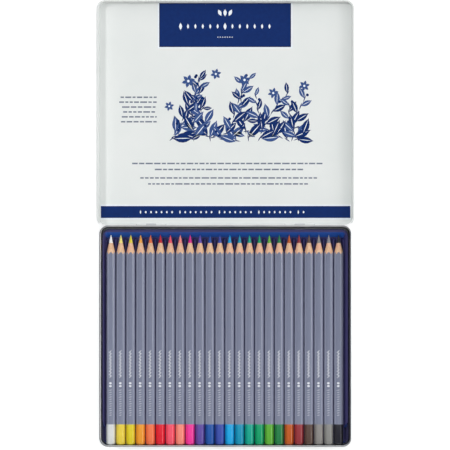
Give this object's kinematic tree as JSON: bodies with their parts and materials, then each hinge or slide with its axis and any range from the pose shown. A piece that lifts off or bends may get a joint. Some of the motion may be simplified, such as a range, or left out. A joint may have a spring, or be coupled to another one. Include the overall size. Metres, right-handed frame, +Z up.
{
  "type": "watercolour pencil set in a hinged tin",
  "caption": "Shallow hinged metal tin, opened flat, with a formed insert tray that holds a row of sharpened hexagonal watercolour pencils.",
  "frame": {"origin": "centre of the base's underside, where the tin stands on the table", "axes": "+X to the right along the hinge, +Y from the pencils' ends towards the hinge and the opened lid, +Z up"},
  "size_m": [0.2154, 0.3735, 0.0143],
  "materials": {
    "base_tinplate": "bare tinplate inside, satin",
    "lid_enamel": "white stoved enamel on tinplate",
    "hinge_wire": "drawn wire",
    "tray_plastic": "vacuum formed dark blue sheet, smooth",
    "casing_wood": "cedar casing, blue-grey lacquer",
    "lead_white": "pressed pigment, matt",
    "lead_pale_yellow": "pressed pigment, matt",
    "lead_yellow": "pressed pigment, matt",
    "lead_orange_yellow": "pressed pigment, matt",
    "lead_orange": "pressed pigment, matt",
    "lead_red": "pressed pigment, matt",
    "lead_rose": "pressed pigment, matt",
    "lead_salmon": "pressed pigment, matt",
    "lead_magenta": "pressed pigment, matt",
    "lead_violet": "pressed pigment, matt",
    "lead_dark_blue": "pressed pigment, matt",
    "lead_ultramarine": "pressed pigment, matt",
    "lead_light_blue": "pressed pigment, matt",
    "lead_turquoise": "pressed pigment, matt",
    "lead_blue_green": "pressed pigment, matt",
    "lead_green": "pressed pigment, matt",
    "lead_light_green": "pressed pigment, matt",
    "lead_dark_green": "pressed pigment, matt",
    "lead_sienna": "pressed pigment, matt",
    "lead_brown_red": "pressed pigment, matt",
    "lead_brown": "pressed pigment, matt",
    "lead_warm_grey": "pressed pigment, matt",
    "lead_cold_grey": "pressed pigment, matt",
    "lead_black": "pressed pigment, matt"
  },
  "bodies": {
    "base": {"base_shell": "base_tinplate", "hinge_pin_left": "hinge_wire", "hinge_pin_right": "hinge_wire"},
    "lid": {"lid_shell": "lid_enamel"},
    "tray": {"insert_tray": "tray_plastic"},
    "pencil_01": {"pencil_01_casing": "casing_wood", "pencil_01_lead": "lead_white"},
    "pencil_02": {"pencil_02_casing": "casing_wood", "pencil_02_lead": "lead_pale_yellow"},
    "pencil_03": {"pencil_03_casing": "casing_wood", "pencil_03_lead": "lead_yellow"},
    "pencil_04": {"pencil_04_casing": "casing_wood", "pencil_04_lead": "lead_orange_yellow"},
    "pencil_05": {"pencil_05_casing": "casing_wood", "pencil_05_lead": "lead_orange"},
    "pencil_06": {"pencil_06_casing": "casing_wood", "pencil_06_lead": "lead_red"},
    "pencil_07": {"pencil_07_casing": "casing_wood", "pencil_07_lead": "lead_rose"},
    "pencil_08": {"pencil_08_casing": "casing_wood", "pencil_08_lead": "lead_salmon"},
    "pencil_09": {"pencil_09_casing": "casing_wood", "pencil_09_lead": "lead_magenta"},
    "pencil_10": {"pencil_10_casing": "casing_wood", "pencil_10_lead": "lead_violet"},
    "pencil_11": {"pencil_11_casing": "casing_wood", "pencil_11_lead": "lead_dark_blue"},
    "pencil_12": {"pencil_12_casing": "casing_wood", "pencil_12_lead": "lead_ultramarine"},
    "pencil_13": {"pencil_13_casing": "casing_wood", "pencil_13_lead": "lead_light_blue"},
    "pencil_14": {"pencil_14_casing": "casing_wood", "pencil_14_lead": "lead_turquoise"},
    "pencil_15": {"pencil_15_casing": "casing_wood", "pencil_15_lead": "lead_blue_green"},
    "pencil_16": {"pencil_16_casing": "casing_wood", "pencil_16_lead": "lead_green"},
    "pencil_17": {"pencil_17_casing": "casing_wood", "pencil_17_lead": "lead_light_green"},
    "pencil_18": {"pencil_18_casing": "casing_wood", "pencil_18_lead": "lead_dark_green"},
    "pencil_19": {"pencil_19_casing": "casing_wood", "pencil_19_lead": "lead_sienna"},
    "pencil_20": {"pencil_20_casing": "casing_wood", "pencil_20_lead": "lead_brown_red"},
    "pencil_21": {"pencil_21_casing": "casing_wood", "pencil_21_lead": "lead_brown"},
    "pencil_22": {"pencil_22_casing": "casing_wood", "pencil_22_lead": "lead_warm_grey"},
    "pencil_23": {"pencil_23_casing": "casing_wood", "pencil_23_lead": "lead_cold_grey"},
    "pencil_24": {"pencil_24_casing": "casing_wood", "pencil_24_lead": "lead_black"}
  },
  "joints": [
    {"name": "lid_hinge", "type": "hinge", "parent": "base", "child": "lid", "pos_m": [0, 0.09295, 0.00745], "axis": [-1, 0, 0], "range_deg": [-180, 0]},
    {"name": "tray_lift", "type": "slide", "parent": "base", "child": "tray", "axis": [0, 0, 1], "range_m": [0, 0.03]},
    {"name": "pencil_01_lift", "type": "slide", "parent": "tray", "child": "pencil_01", "axis": [0, 0, 1], "range_m": [0, 0.04]},
    {"name": "pencil_02_lift", "type": "slide", "parent": "tray", "child": "pencil_02", "axis": [0, 0, 1], "range_m": [0, 0.04]},
    {"name": "pencil_03_lift", "type": "slide", "parent": "tray", "child": "pencil_03", "axis": [0, 0, 1], "range_m": [0, 0.04]},
    {"name": "pencil_04_lift", "type": "slide", "parent": "tray", "child": "pencil_04", "axis": [0, 0, 1], "range_m": [0, 0.04]},
    {"name": "pencil_05_lift", "type": "slide", "parent": "tray", "child": "pencil_05", "axis": [0, 0, 1], "range_m": [0, 0.04]},
    {"name": "pencil_06_lift", "type": "slide", "parent": "tray", "child": "pencil_06", "axis": [0, 0, 1], "range_m": [0, 0.04]},
    {"name": "pencil_07_lift", "type": "slide", "parent": "tray", "child": "pencil_07", "axis": [0, 0, 1], "range_m": [0, 0.04]},
    {"name": "pencil_08_lift", "type": "slide", "parent": "tray", "child": "pencil_08", "axis": [0, 0, 1], "range_m": [0, 0.04]},
    {"name": "pencil_09_lift", "type": "slide", "parent": "tray", "child": "pencil_09", "axis": [0, 0, 1], "range_m": [0, 0.04]},
    {"name": "pencil_10_lift", "type": "slide", "parent": "tray", "child": "pencil_10", "axis": [0, 0, 1], "range_m": [0, 0.04]},
    {"name": "pencil_11_lift", "type": "slide", "parent": "tray", "child": "pencil_11", "axis": [0, 0, 1], "range_m": [0, 0.04]},
    {"name": "pencil_12_lift", "type": "slide", "parent": "tray", "child": "pencil_12", "axis": [0, 0, 1], "range_m": [0, 0.04]},
    {"name": "pencil_13_lift", "type": "slide", "parent": "tray", "child": "pencil_13", "axis": [0, 0, 1], "range_m": [0, 0.04]},
    {"name": "pencil_14_lift", "type": "slide", "parent": "tray", "child": "pencil_14", "axis": [0, 0, 1], "range_m": [0, 0.04]},
    {"name": "pencil_15_lift", "type": "slide", "parent": "tray", "child": "pencil_15", "axis": [0, 0, 1], "range_m": [0, 0.04]},
    {"name": "pencil_16_lift", "type": "slide", "parent": "tray", "child": "pencil_16", "axis": [0, 0, 1], "range_m": [0, 0.04]},
    {"name": "pencil_17_lift", "type": "slide", "parent": "tray", "child": "pencil_17", "axis": [0, 0, 1], "range_m": [0, 0.04]},
    {"name": "pencil_18_lift", "type": "slide", "parent": "tray", "child": "pencil_18", "axis": [0, 0, 1], "range_m": [0, 0.04]},
    {"name": "pencil_19_lift", "type": "slide", "parent": "tray", "child": "pencil_19", "axis": [0, 0, 1], "range_m": [0, 0.04]},
    {"name": "pencil_20_lift", "type": "slide", "parent": "tray", "child": "pencil_20", "axis": [0, 0, 1], "range_m": [0, 0.04]},
    {"name": "pencil_21_lift", "type": "slide", "parent": "tray", "child": "pencil_21", "axis": [0, 0, 1], "range_m": [0, 0.04]},
    {"name": "pencil_22_lift", "type": "slide", "parent": "tray", "child": "pencil_22", "axis": [0, 0, 1], "range_m": [0, 0.04]},
    {"name": "pencil_23_lift", "type": "slide", "parent": "tray", "child": "pencil_23", "axis": [0, 0, 1], "range_m": [0, 0.04]},
    {"name": "pencil_24_lift", "type": "slide", "parent": "tray", "child": "pencil_24", "axis": [0, 0, 1], "range_m": [0, 0.04]}
  ]
}
